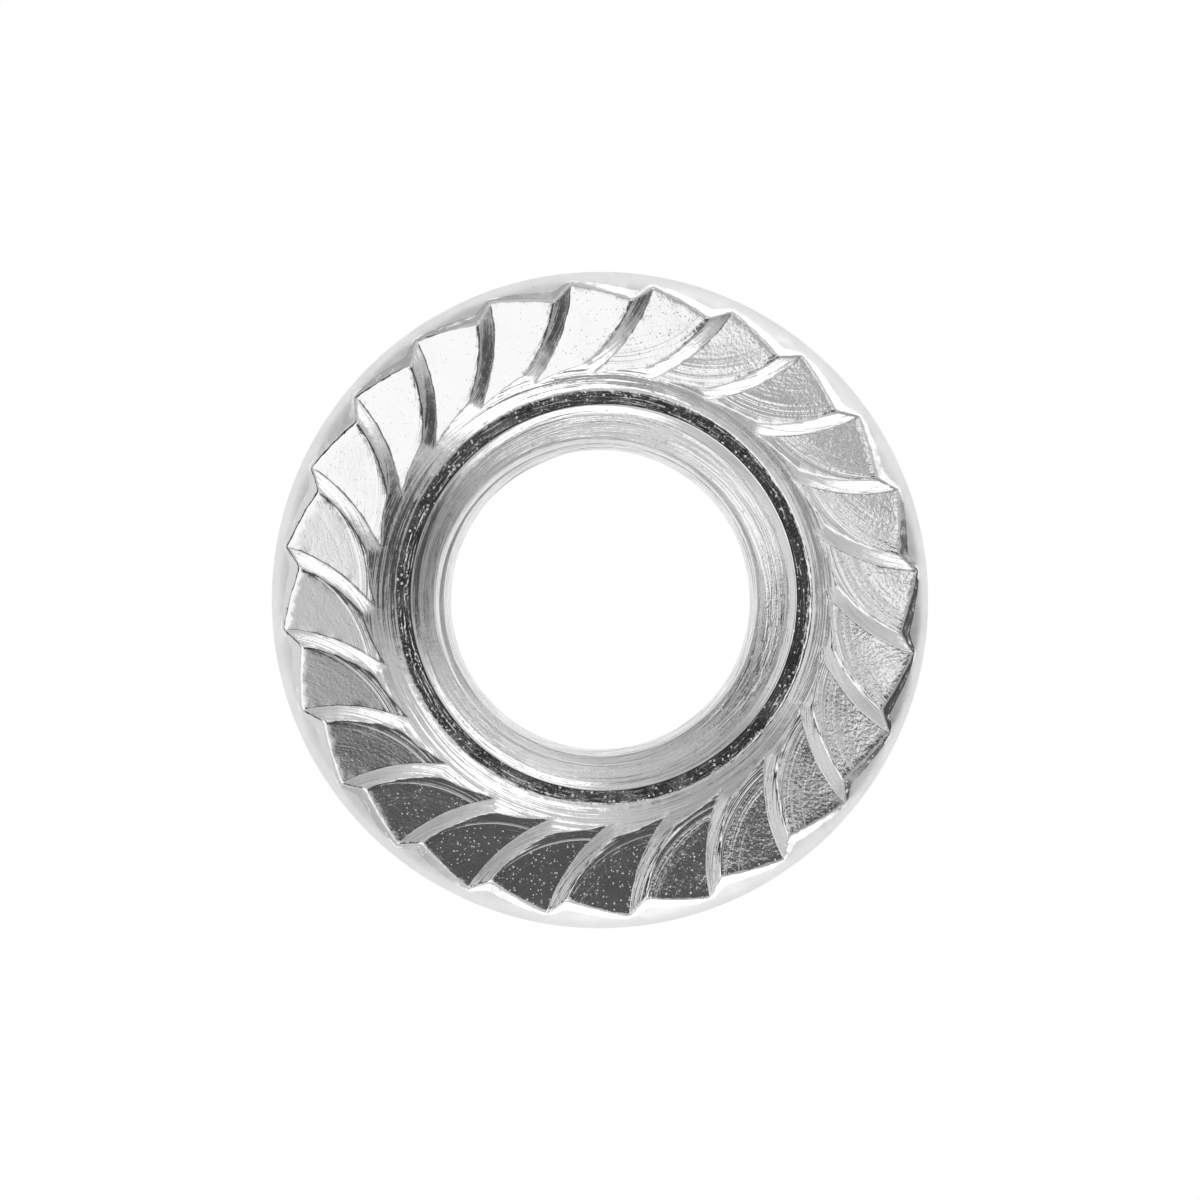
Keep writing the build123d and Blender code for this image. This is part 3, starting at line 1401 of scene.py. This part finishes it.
@dataclass(frozen=True)
class ZincFinish:
    """Bright zinc plating on steel, with the marks of how its face was made.

    Attributes:
        name: The material's name.
        colour: Colour of the metal's reflection, as sRGB hex.
        roughness: Lowest and highest spread of a reflection.
        sweep: Marks that run round the nut's axis, or round the crest centre on a serration.
        speckle: Marks that run no way in particular.
        pits: Width and depth of the small pits in millimetres, and the share of them kept.
        on_arcs: Whether the sweep follows the piece's UV map, so the punch's own tool marks.
    """

    name: str
    colour: str
    roughness: tuple[float, float]
    sweep: tuple[Grain, ...]
    speckle: tuple[Grain, ...]
    pits: tuple[float, float, float]
    on_arcs: bool = False

    def build(self) -> bpy.types.Material:
        """Makes the material.

        Returns:
            The material.
        """
        material = bpy.data.materials.new(self.name)
        material.use_nodes = True
        tree = material.node_tree
        tree.nodes.clear()
        metres = add_node(tree, "ShaderNodeTexCoord").outputs["Object"]
        place = add_node(
            tree, "ShaderNodeVectorMath", {0: metres, "Scale": 1 / MM}, operation="SCALE"
        ).outputs[0]
        height = self.pitting(tree, place)
        for grain in self.speckle:
            amount = self.amount(tree, place, grain)
            height = self.layer(tree, height, place, 1 / grain.across, amount)
        for grain in self.sweep:
            if self.on_arcs:
                swept = self.along_arcs(tree, grain)
            else:
                swept = self.around_axis(tree, place, grain)
            height = self.layer(tree, height, swept, 1.0, self.amount(tree, place, grain))
        strength = self.calmer_walls(tree) if self.on_arcs else 1.0
        bump = add_node(
            tree, "ShaderNodeBump", {"Strength": strength, "Distance": MM, "Height": height}
        )
        cloud_size, noise_low, noise_high = 0.625, 0.35, 0.65
        spread = add_node(
            tree, "ShaderNodeTexNoise", {"Vector": place, "Scale": 1 / cloud_size, "Detail": 4.0}
        )
        low, high = self.roughness
        rough = add_node(
            tree,
            "ShaderNodeMapRange",
            {0: spread.outputs[0], 1: noise_low, 2: noise_high, 3: low, 4: high},
        )
        shader = add_node(
            tree,
            "ShaderNodeBsdfPrincipled",
            {
                "Base Color": linear(self.colour),
                "Metallic": 1.0,
                "Roughness": rough.outputs[0],
                "Normal": bump.outputs[0],
            },
        )
        add_node(tree, "ShaderNodeOutputMaterial", {"Surface": shader.outputs[0]})
        return material

    @staticmethod
    def past_crest(tree: bpy.types.NodeTree) -> bpy.types.NodeSocket:
        """How far a point lies past a serration's crest: above 0 on its land, below on its wall.

        Args:
            tree: The material's node tree.

        Returns:
            The distance's socket, in millimetres.
        """
        flat = add_node(tree, "ShaderNodeUVMap", uv_map="UVMap").outputs[0]
        return add_node(tree, "ShaderNodeSeparateXYZ", {0: flat}).outputs["X"]

    @staticmethod
    def calmer_walls(tree: bpy.types.NodeTree) -> bpy.types.NodeSocket:
        """Strength of the relief: full on a serration's land, faint on its steep wall.

        Args:
            tree: The material's node tree.

        Returns:
            The strength's socket.
        """
        away = ZincFinish.past_crest(tree)
        land = ZincFinish.one_sided(tree, turn=-20.0, least=0.22, most=1.0)
        wall, blend = 0.25, 0.03
        return add_node(
            tree, "ShaderNodeMapRange", {0: away, 1: -blend, 2: blend, 3: wall, 4: land}
        ).outputs[0]

    @staticmethod
    def one_sided(
        tree: bpy.types.NodeTree, turn: float, least: float, most: float
    ) -> bpy.types.NodeSocket:
        """A value that changes from serration to serration, as the punch wore on one side.

        Args:
            tree: The material's node tree.
            turn: Where it is highest, in degrees from +X.
            least: Its value opposite that place.
            most: Its value at that place.

        Returns:
            The value's socket.
        """
        first_tooth = 10.0
        full_at = 0.7
        tooth = add_node(tree, "ShaderNodeAttribute", attribute_name="tooth").outputs["Fac"]
        angle = add_node(
            tree,
            "ShaderNodeMath",
            {0: tooth, 1: 2 * math.pi / TEETH, 2: math.radians(first_tooth - turn)},
            operation="MULTIPLY_ADD",
        )
        side = add_node(tree, "ShaderNodeMath", {0: angle.outputs[0]}, operation="COSINE")
        return add_node(
            tree,
            "ShaderNodeMapRange",
            {0: side.outputs[0], 1: -full_at, 2: full_at, 3: least, 4: most},
        ).outputs[0]

    @staticmethod
    def along_arcs(tree: bpy.types.NodeTree, grain: Grain) -> bpy.types.NodeSocket:
        """Coordinates stretched round each serration's crest centre, one unit to a mark.

        Args:
            tree: The material's node tree.
            grain: The relief layer.

        Returns:
            The vector socket, different on every serration.
        """
        apart = 7.3
        flat = add_node(tree, "ShaderNodeUVMap", uv_map="UVMap").outputs[0]
        tooth = add_node(tree, "ShaderNodeAttribute", attribute_name="tooth").outputs["Fac"]
        scaled = add_node(
            tree,
            "ShaderNodeVectorMath",
            {0: flat, 1: (1 / grain.across, 1 / grain.along, 0)},
            operation="MULTIPLY",
        )
        own = add_node(tree, "ShaderNodeCombineXYZ", {"Z": tooth})
        return add_node(
            tree,
            "ShaderNodeVectorMath",
            {0: own.outputs[0], 1: (0, 0, apart), 2: scaled.outputs[0]},
            operation="MULTIPLY_ADD",
        ).outputs[0]

    @staticmethod
    def around_axis(
        tree: bpy.types.NodeTree, place: bpy.types.NodeSocket, grain: Grain
    ) -> bpy.types.NodeSocket:
        """Coordinates stretched round the nut's axis, one unit to a mark.

        Args:
            tree: The material's node tree.
            place: Object position in millimetres.
            grain: The relief layer.

        Returns:
            The vector socket.
        """
        flat = add_node(
            tree, "ShaderNodeVectorMath", {0: place, 1: (1, 1, 0)}, operation="MULTIPLY"
        )
        radius = add_node(tree, "ShaderNodeVectorMath", {0: flat.outputs[0]}, operation="LENGTH")
        unit = add_node(tree, "ShaderNodeVectorMath", {0: flat.outputs[0]}, operation="NORMALIZE")
        rise = add_node(tree, "ShaderNodeSeparateXYZ", {0: place}).outputs["Z"]
        mean_r = 6.0
        turn = add_node(
            tree,
            "ShaderNodeVectorMath",
            {0: unit.outputs[0], "Scale": mean_r / grain.along},
            operation="SCALE",
        )
        slant = add_node(
            tree, "ShaderNodeMath", {0: radius.outputs["Value"], 1: rise}, operation="ADD"
        )
        depth = add_node(
            tree,
            "ShaderNodeMath",
            {0: slant.outputs[0], 1: 1 / grain.across},
            operation="MULTIPLY",
        )
        lift = add_node(tree, "ShaderNodeCombineXYZ", {"Z": depth.outputs[0]})
        return add_node(
            tree, "ShaderNodeVectorMath", {0: turn.outputs[0], 1: lift.outputs[0]}, operation="ADD"
        ).outputs[0]

    @staticmethod
    def amount(
        tree: bpy.types.NodeTree, place: bpy.types.NodeSocket, grain: Grain
    ) -> float | bpy.types.NodeSocket:
        """Height of one layer's marks from place to place.

        Args:
            tree: The material's node tree.
            place: Object position in millimetres.
            grain: The relief layer.

        Returns:
            The height in millimetres, or a socket that gives it.
        """
        full = grain.height
        if grain.fade:
            away = ZincFinish.past_crest(tree)
            worn = ZincFinish.one_sided(tree, turn=30.0, least=0.2 * full, most=full)
            return add_node(
                tree,
                "ShaderNodeMapRange",
                {0: away, 1: 0.0, 2: grain.fade, 3: worn, 4: 0.0},
                interpolation_type="SMOOTHSTEP",
            ).outputs[0]
        if grain.walled:
            away, blend = ZincFinish.past_crest(tree), 0.06
            worn = ZincFinish.one_sided(tree, turn=290.0, least=0.5 * full, most=1.4 * full)
            return add_node(
                tree, "ShaderNodeMapRange", {0: away, 1: -blend, 2: 0.0, 3: worn, 4: 0.0}
            ).outputs[0]
        if grain.patch:
            none_below, full_above = 0.4, 0.62
            patches = add_node(
                tree,
                "ShaderNodeTexNoise",
                {"Vector": place, "Scale": 1 / grain.patch, "Detail": 2.0},
            ).outputs[0]
            return add_node(
                tree,
                "ShaderNodeMapRange",
                {0: patches, 1: none_below, 2: full_above, 3: 0.0, 4: full},
            ).outputs[0]
        return full

    @staticmethod
    def layer(
        tree: bpy.types.NodeTree,
        height: bpy.types.NodeSocket,
        vector: bpy.types.NodeSocket,
        scale: float,
        amount: float | bpy.types.NodeSocket,
    ) -> bpy.types.NodeSocket:
        """Adds one layer of relief to a height.

        Args:
            tree: The material's node tree.
            height: Height so far, in millimetres.
            vector: Coordinates of the layer's marks.
            scale: Marks per unit of those coordinates.
            amount: Height of the marks, in millimetres.

        Returns:
            The new height's socket.
        """
        marks = add_node(
            tree, "ShaderNodeTexNoise", {"Vector": vector, "Scale": scale, "Detail": 2.0}
        ).outputs[0]
        return add_node(
            tree,
            "ShaderNodeMath",
            {0: marks, 1: amount, 2: height},
            operation="MULTIPLY_ADD",
        ).outputs[0]

    def pitting(
        self, tree: bpy.types.NodeTree, place: bpy.types.NodeSocket
    ) -> bpy.types.NodeSocket:
        """Height of the sparse small pits.

        Args:
            tree: The material's node tree.
            place: Object position in millimetres.

        Returns:
            The height's socket, in millimetres.
        """
        width, depth, kept = self.pits
        waves, cells_wide = 0.8, 0.5
        small, large = 0.12, 0.36
        wobble = add_node(
            tree, "ShaderNodeTexNoise", {"Vector": place, "Scale": waves / width, "Detail": 1.0}
        )
        bent = add_node(
            tree,
            "ShaderNodeVectorMath",
            {0: wobble.outputs["Color"], 1: (width, width, width), 2: place},
            operation="MULTIPLY_ADD",
        )
        cells = add_node(
            tree, "ShaderNodeTexVoronoi", {"Vector": bent.outputs[0], "Scale": cells_wide / width}
        )
        lot = add_node(tree, "ShaderNodeSeparateColor", {0: cells.outputs["Color"]})
        reach = add_node(
            tree, "ShaderNodeMapRange", {0: lot.outputs[1], 1: 0.0, 2: 1.0, 3: small, 4: large}
        )
        bowl = add_node(
            tree,
            "ShaderNodeMapRange",
            {0: cells.outputs["Distance"], 1: 0.0, 2: reach.outputs[0], 3: -depth, 4: 0.0},
            interpolation_type="SMOOTHSTEP",
        )
        chosen = add_node(
            tree, "ShaderNodeMath", {0: lot.outputs[0], 1: kept}, operation="LESS_THAN"
        )
        return add_node(
            tree,
            "ShaderNodeMath",
            {0: bowl.outputs[0], 1: chosen.outputs[0]},
            operation="MULTIPLY",
        ).outputs[0]


# A real finish has marks down to a hundredth of a millimetre, which a view of the whole nut
# can't show. The finest marks and pits here are drawn about 0.05 mm wide, so that they show.
FINISHES = {
    # Pressed by the punch: a bright face with the punch's own turning arcs and dust pits.
    Zone.SERRATION: ZincFinish(
        name="zinc_punched_serrations",
        colour="ececec",
        roughness=(0.12, 0.18),
        sweep=(
            Grain(0.06, 3.0, 0.009, patch=1.1),
            Grain(0.07, 5.0, 0.03, fade=0.7),
            Grain(0.17, 8.0, 0.07, fade=1.0),
            Grain(0.08, 6.0, 0.06, walled=True),
        ),
        speckle=(Grain(0.09, 0.09, 0.012), Grain(0.7, 0.7, 0.018)),
        pits=(0.045, 0.013, 0.7),
        on_arcs=True,
    ),
    # Sheared along the teeth's ends, the ring's lip and the bore's broken edge: bright, fine lines.
    Zone.SHEAR: ZincFinish(
        name="zinc_sheared_edges",
        colour="eeeeee",
        roughness=(0.08, 0.15),
        sweep=(Grain(0.08, 3.0, 0.003), Grain(0.25, 4.0, 0.02)),
        speckle=(Grain(0.08, 0.08, 0.002), Grain(0.5, 0.5, 0.01)),
        pits=(0.05, 0.006, 0.2),
    ),
    # Barrel-plated turned rim: satin, with hardly any marks.
    Zone.RIM: ZincFinish(
        name="zinc_satin_rim",
        colour="ececec",
        roughness=(0.36, 0.46),
        sweep=(Grain(0.2, 6.0, 0.004),),
        speckle=(Grain(0.08, 0.08, 0.002), Grain(0.6, 0.6, 0.01)),
        pits=(0.07, 0.01, 0.12),
    ),
    # Floor of the recessed ring: bright but densely pitted.
    Zone.RING: ZincFinish(
        name="zinc_pitted_ring",
        colour="e6e6e6",
        roughness=(0.1, 0.2),
        sweep=(Grain(0.09, 1.2, 0.013),),
        speckle=(Grain(0.08, 0.08, 0.006), Grain(0.4, 0.4, 0.008)),
        pits=(0.06, 0.018, 0.5),
    ),
    # Tapped thread and its countersinks: turning lines all the way round, some of them broad.
    Zone.THREAD: ZincFinish(
        name="zinc_cut_thread",
        colour="efefef",
        roughness=(0.16, 0.26),
        sweep=(
            Grain(0.07, 0.7, 0.016, patch=1.2),
            Grain(0.07, 4.0, 0.012),
            Grain(0.2, 8.0, 0.045),
            Grain(0.8, 7.0, 0.12),
        ),
        speckle=(Grain(0.06, 0.06, 0.007), Grain(0.5, 0.5, 0.014)),
        pits=(0.07, 0.012, 0.3),
    ),
    # Cold-forged hexagon and back of the flange: satin with a faint orange peel.
    Zone.HEXAGON: ZincFinish(
        name="zinc_forged_hexagon",
        colour="e8e8e8",
        roughness=(0.28, 0.4),
        sweep=(Grain(0.3, 4.0, 0.004),),
        speckle=(Grain(0.09, 0.09, 0.003), Grain(0.8, 0.8, 0.02)),
        pits=(0.09, 0.012, 0.15),
    ),
}


@dataclass
class Nut:
    """The whole nut as one closed mesh.

    Attributes:
        sizes: Driving sizes of the nut.
        ring_runout: How far the recessed ring lies off the bore's axis.
        runout_turn: Which way it lies off, in degrees from +X.
        runout_from: Distance outside the bore at which the shift starts.
        runout_to: Distance from the axis at which the shift has faded out again.
        runout_deep: Depth below the ring at which it has faded out.
        runout_blend: Distance over which it fades.
        sharp_angle: Bend in degrees above which an edge is shaded sharp.
        finishes: The finish of each zone.
    """

    sizes: NutSizes
    ring_runout: float = 0.12
    runout_turn: float = 37.0
    runout_from: float = 0.1
    runout_to: float = 6.3
    runout_deep: float = 1.0
    runout_blend: float = 0.5
    sharp_angle: float = 38.0
    finishes: dict[Zone, ZincFinish] = field(default_factory=lambda: FINISHES)

    def build(self) -> bpy.types.Object:
        """Joins the skins into the nut and puts it in the CAD part's place.

        Returns:
            The nut's object.
        """
        materials = {zone: self.finishes[zone].build() for zone in Zone}
        shape = bmesh.new()
        for part in self.skins(materials):
            LOG.info("%s: %d faces", part.name, len(part.polygons))
            shape.from_mesh(part)
            bpy.data.meshes.remove(part)
        self.close(shape)
        self.shift_ring(shape)
        mesh = bpy.data.meshes.new("nut_visual")
        shape.to_mesh(mesh)
        shape.free()
        for zone in Zone:
            mesh.materials.append(materials[zone])
        mesh.polygons.foreach_set("use_smooth", [True] * len(mesh.polygons))
        mesh.set_sharp_from_angle(angle=math.radians(self.sharp_angle))
        nut = bpy.data.objects.new("nut_visual", mesh)
        bpy.context.scene.collection.objects.link(nut)
        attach(nut, "root")
        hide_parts(NODE)
        return nut

    def skins(self, materials: dict[Zone, bpy.types.Material]) -> list[bpy.types.Mesh]:
        """Meshes of the face, the forging and the bore, which meet along shared edges.

        Args:
            materials: The material of each zone.

        Returns:
            The meshes.
        """
        ring = SerrationRing(self.sizes)
        forging = Forging(self.sizes, ring)
        bore = ThreadBore(self.sizes, ring.ring_margin, forging.lower_step)
        parts = [ring.build(materials), forging.build().to_mesh("forging")]
        return parts + [skin.to_mesh(f"bore_{skin.zone.name.lower()}") for skin in bore.build()]

    @staticmethod
    def close(shape: bmesh.types.BMesh) -> None:
        """Merges the skins' shared edges and reports how many stay open.

        Args:
            shape: The joined skins, changed in place.
        """
        sliver = MERGE_GAP / 4
        bmesh.ops.remove_doubles(shape, verts=shape.verts, dist=MERGE_GAP * MM)
        bmesh.ops.dissolve_degenerate(shape, edges=shape.edges, dist=sliver * MM)
        bmesh.ops.recalc_face_normals(shape, faces=shape.faces)
        open_edges = sum(not edge.is_manifold for edge in shape.edges)
        triangles = sum(len(face.verts) - 2 for face in shape.faces)
        LOG.info("nut: %d triangles, %d open edges", triangles, open_edges)

    def shift_ring(self, shape: bmesh.types.BMesh) -> None:
        """Moves the recessed ring and the countersink off centre, as the tool ran out.

        Args:
            shape: The whole nut, changed in place.
        """
        turn = math.radians(self.runout_turn)
        way = Vector((math.cos(turn), math.sin(turn), 0)) * self.ring_runout * MM
        s, blend = self.sizes, self.runout_blend
        for vertex in shape.verts:
            r, z = math.hypot(vertex.co.x, vertex.co.y) / MM, vertex.co.z / MM
            rise = min(max((r - s.bore_r - self.runout_from) / blend, 0), 1)
            fade = min(max((self.runout_to - r) / blend, 0), 1)
            deep = min(max((z - s.ring_z + self.runout_deep) / blend, 0), 1)
            vertex.co += way * rise * fade * deep


@dataclass(frozen=True)
class Glow:
    """One soft-edged patch of the light tent, seen from the nut.

    Attributes:
        azimuth: Direction of its middle round the nut, from +X.
        rise: Its middle's angle above the table.
        around: Half its angle round the nut, as seen from the nut.
        upright: Half its angle upwards.
        level: Brightness, where 1 is white.
        edge: Share of the half size over which it fades.
    """

    azimuth: float
    rise: float
    around: float
    upright: float
    level: float
    edge: float = 0.5


@dataclass
class Studio:
    """White table, light tent and the camera.

    Attributes:
        view_height: Height of the camera above the nut's face, in millimetres.
        view_width: Width of its view at the nut's face, in millimetres.
        cloth: Brightness of the tent's cloth, where 1 is white.
        tent_r: Radius of the tent in metres.
        table_half: Half the width of the table in metres.
        table_colour: Colour of the table's matte paint, as sRGB hex.
        table_level: Share of white that the table shows to the camera and in reflections.
        glows: Lit and dark patches of the tent, each laid over those before it.
    """

    view_height: float = 140.0
    view_width: float = 32.485
    cloth: float = 0.62
    tent_r: float = 1.0
    table_half: float = 0.8
    table_colour: str = "ededed"
    table_level: float = 0.995
    glows: tuple[Glow, ...] = (
        Glow(102, 62, 16, 24, 0.42, 0.6),  # grey card, high at +Y
        Glow(74, 60, 11, 22, 1.1, 0.6),  # small soft box beside it
        Glow(196, 57, 43, 27, 1.15, 0.3),  # wide soft box, high at -X
        Glow(338, 34, 72, 12, 0.36, 0.4),  # grey band, half way up round +X
        Glow(344, 68, 31, 26, 0.09, 0.5),  # dark card, high at +X
        Glow(180, 8, 58, 24, 0.77, 0.5),  # brighter cloth, low at -X
        Glow(122, 4, 34, 20, 0.42, 0.5),  # grey card, low between +Y and -X
        Glow(226, 3, 14, 16, 0.5, 0.5),  # grey card, low between -X and -Y
        Glow(57, 4, 44, 18, 1.4, 0.35),  # soft box, low between +X and +Y
        Glow(281, 5, 43, 20, 1.5, 0.35),  # soft box, low at -Y
        Glow(349, 5, 35, 21, 0.07, 0.5),  # dark card, low at +X
        Glow(160, 35, 36, 17, 0.03, 0.4),  # dark card, half way up at -X
        Glow(0, 90, 14, 14, 0.03, 0.35),  # hole for the camera, straight above
    )

    def build(self, height: float) -> None:
        """Sets up the whole studio.

        Args:
            height: Height of the nut's face in millimetres.
        """
        self.world()
        self.table()
        self.tent()
        self.camera(height)

    def world(self) -> None:
        """Makes the room behind the tent plain white."""
        world = bpy.data.worlds.new("studio_room")
        world.use_nodes = True
        tree = world.node_tree
        tree.nodes.clear()
        light = add_node(tree, "ShaderNodeBackground", {"Color": linear(WHITE), "Strength": 1.0})
        add_node(tree, "ShaderNodeOutputWorld", {"Surface": light.outputs[0]})
        bpy.context.scene.world = world

    def tent(self) -> None:
        """Makes the tent of white cloth, with soft boxes and dark cards behind it."""
        shape = bmesh.new()
        bmesh.ops.create_icosphere(shape, subdivisions=4, radius=self.tent_r)
        mesh = bpy.data.meshes.new("light_tent")
        shape.to_mesh(mesh)
        shape.free()
        material = bpy.data.materials.new("tent_cloth")
        material.use_nodes = True
        tree = material.node_tree
        tree.nodes.clear()
        place = add_node(tree, "ShaderNodeTexCoord").outputs["Object"]
        level = self.cloth
        for glow in self.glows:
            level = self.lay_over(tree, place, level, glow)
        light = add_node(tree, "ShaderNodeEmission", {"Color": linear(WHITE), "Strength": level})
        add_node(tree, "ShaderNodeOutputMaterial", {"Surface": light.outputs[0]})
        material.cycles.emission_sampling = "NONE"
        mesh.materials.append(material)
        tent = bpy.data.objects.new("light_tent", mesh)
        tent.visible_camera = False
        bpy.context.scene.collection.objects.link(tent)

    def lay_over(
        self,
        tree: bpy.types.NodeTree,
        place: bpy.types.NodeSocket,
        level: float | bpy.types.NodeSocket,
        glow: Glow,
    ) -> bpy.types.NodeSocket:
        """Lays one patch over the tent's brightness so far.

        Args:
            tree: The cloth's node tree.
            place: Object position in metres.
            level: Brightness so far.
            glow: The patch.

        Returns:
            The new brightness's socket.
        """
        rise, turn = math.radians(glow.rise), math.radians(glow.azimuth)
        middle = (
            math.cos(rise) * math.cos(turn) * self.tent_r,
            math.cos(rise) * math.sin(turn) * self.tent_r,
            math.sin(rise) * self.tent_r,
        )
        reach = (
            self.tent_r,
            math.sin(math.radians(glow.around)) * self.tent_r,
            math.sin(math.radians(glow.upright)) * self.tent_r,
        )
        local = add_node(
            tree,
            "ShaderNodeMapping",
            {"Vector": place, "Location": middle, "Rotation": (0, -rise, turn), "Scale": reach},
            vector_type="TEXTURE",
        )
        ball = add_node(
            tree,
            "ShaderNodeTexGradient",
            {"Vector": local.outputs[0]},
            gradient_type="SPHERICAL",
        )
        mask = add_node(
            tree,
            "ShaderNodeMapRange",
            {"Value": ball.outputs[1], "From Min": 0.0, "From Max": glow.edge},
            interpolation_type="SMOOTHSTEP",
        )
        return add_node(
            tree,
            "ShaderNodeMix",
            {0: mask.outputs[0], 2: level, 3: glow.level},
            data_type="FLOAT",
        ).outputs[0]

    def table(self) -> None:
        """Makes the white table the nut stands on."""
        mesh = bpy.data.meshes.new("table")
        half = self.table_half
        mesh.from_pydata(
            [(-half, -half, 0), (half, -half, 0), (half, half, 0), (-half, half, 0)],
            [],
            [(0, 1, 2, 3)],
        )
        material = bpy.data.materials.new("table_white")
        material.use_nodes = True
        tree = material.node_tree
        tree.nodes.clear()
        rays = add_node(tree, "ShaderNodeLightPath")
        seen = add_node(
            tree,
            "ShaderNodeMath",
            {0: rays.outputs["Is Camera Ray"], 1: rays.outputs["Is Glossy Ray"]},
            operation="MAXIMUM",
        )
        seen = add_node(
            tree,
            "ShaderNodeMath",
            {0: seen.outputs[0], 1: rays.outputs["Is Transmission Ray"]},
            operation="MAXIMUM",
        )
        share = add_node(
            tree, "ShaderNodeMath", {0: seen.outputs[0], 1: self.table_level}, operation="MULTIPLY"
        )
        matte = add_node(tree, "ShaderNodeBsdfDiffuse", {"Color": linear(self.table_colour)})
        glow = add_node(tree, "ShaderNodeEmission", {"Color": linear(WHITE), "Strength": 1.0})
        mix = add_node(
            tree,
            "ShaderNodeMixShader",
            {0: share.outputs[0], 1: matte.outputs[0], 2: glow.outputs[0]},
        )
        add_node(tree, "ShaderNodeOutputMaterial", {"Surface": mix.outputs[0]})
        mesh.materials.append(material)
        table = bpy.data.objects.new("table", mesh)
        bpy.context.scene.collection.objects.link(table)

    def camera(self, height: float) -> None:
        """Puts the camera straight above the nut, with +Y up in its view.

        Args:
            height: Height of the nut's face in millimetres.
        """
        data = bpy.data.cameras.new("camera")
        data.angle = 2 * math.atan(self.view_width / 2 / self.view_height)
        data.clip_start, data.clip_end = 0.001, 20
        camera = bpy.data.objects.new("camera", data)
        camera.location = (0, 0, (self.view_height + height) * MM)
        bpy.context.scene.collection.objects.link(camera)
        bpy.context.scene.camera = camera


def main() -> None:
    """Builds the nut and its studio."""
    logging.basicConfig(level=logging.INFO, format="%(name)s %(message)s")
    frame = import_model()
    LOG.info("frame: %s", ", ".join(frame["nodes"]))
    low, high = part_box(NODE)
    sizes = NutSizes(height=high.z / MM, flange_r=high.x / MM)
    nut = Nut(sizes).build()
    LOG.info("%s: %d faces", nut.name, len(nut.data.polygons))
    Studio().build(sizes.height)
    bpy.context.scene.view_settings.view_transform = "Standard"
    bpy.context.view_layer.update()


if __name__ == "__main__":
    main()
